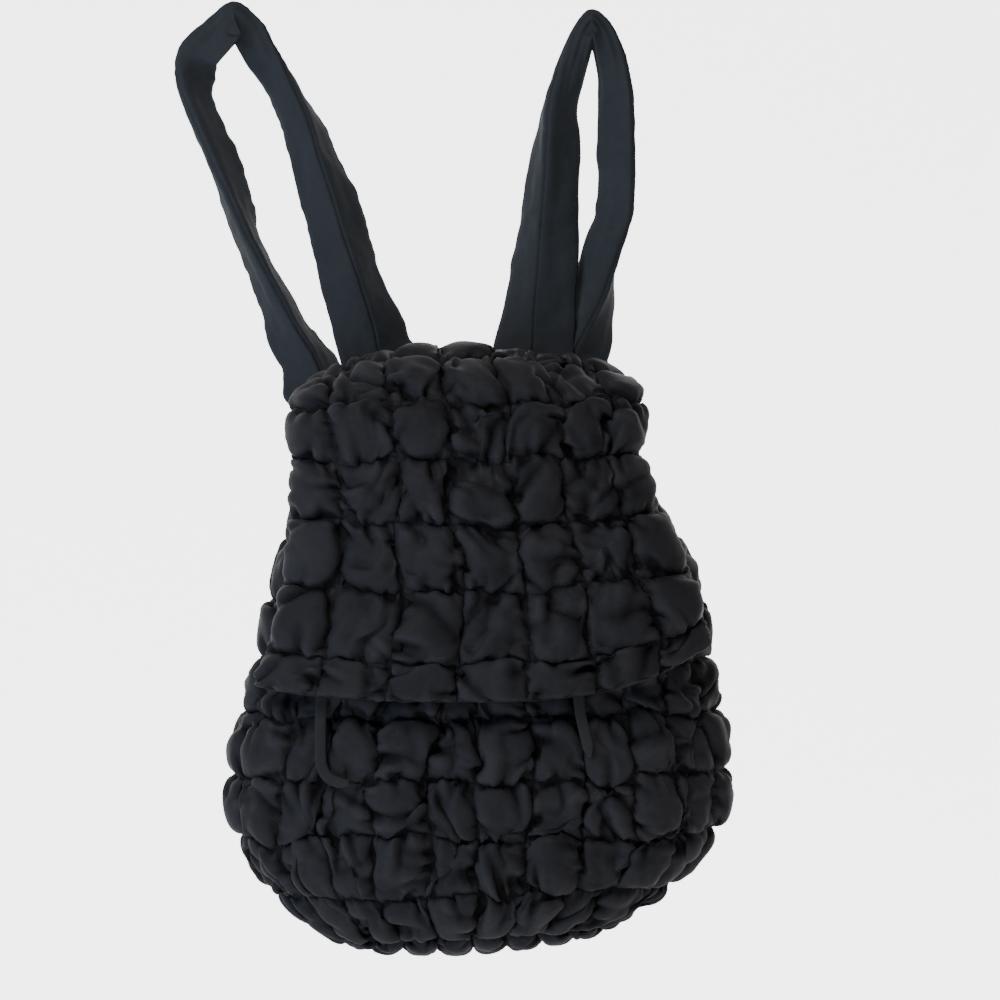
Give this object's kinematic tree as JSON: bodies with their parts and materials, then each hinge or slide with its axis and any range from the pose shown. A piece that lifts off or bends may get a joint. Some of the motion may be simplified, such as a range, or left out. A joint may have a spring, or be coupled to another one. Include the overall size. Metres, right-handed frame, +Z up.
{
  "type": "quilted puffer backpack",
  "caption": "Soft quilted backpack with a gathered drawstring mouth under a padded flap, hanging by two wide folded cloth shoulder straps.",
  "frame": {"origin": "under the highest point of the left strap, where a hook carries it", "axes": "+Z up along the height of the hanging bag, -Y is the front with the flap, +X to the right seen from the front"},
  "size_m": [0.3328, 0.142, 0.5731],
  "materials": {
    "padded_shell": "matte black nylon, quilted over padding",
    "strap_cloth": "matte black nylon, folded and stitched flat",
    "drawstring_tape": "matte black flat woven tape"
  },
  "bodies": {
    "root": {"front_panel": "padded_shell", "back_panel": "padded_shell", "base_panel": "padded_shell", "flap": "padded_shell", "strap_left": "strap_cloth", "strap_right": "strap_cloth", "drawstring_left": "drawstring_tape", "drawstring_right": "drawstring_tape"}
  },
  "joints": []
}
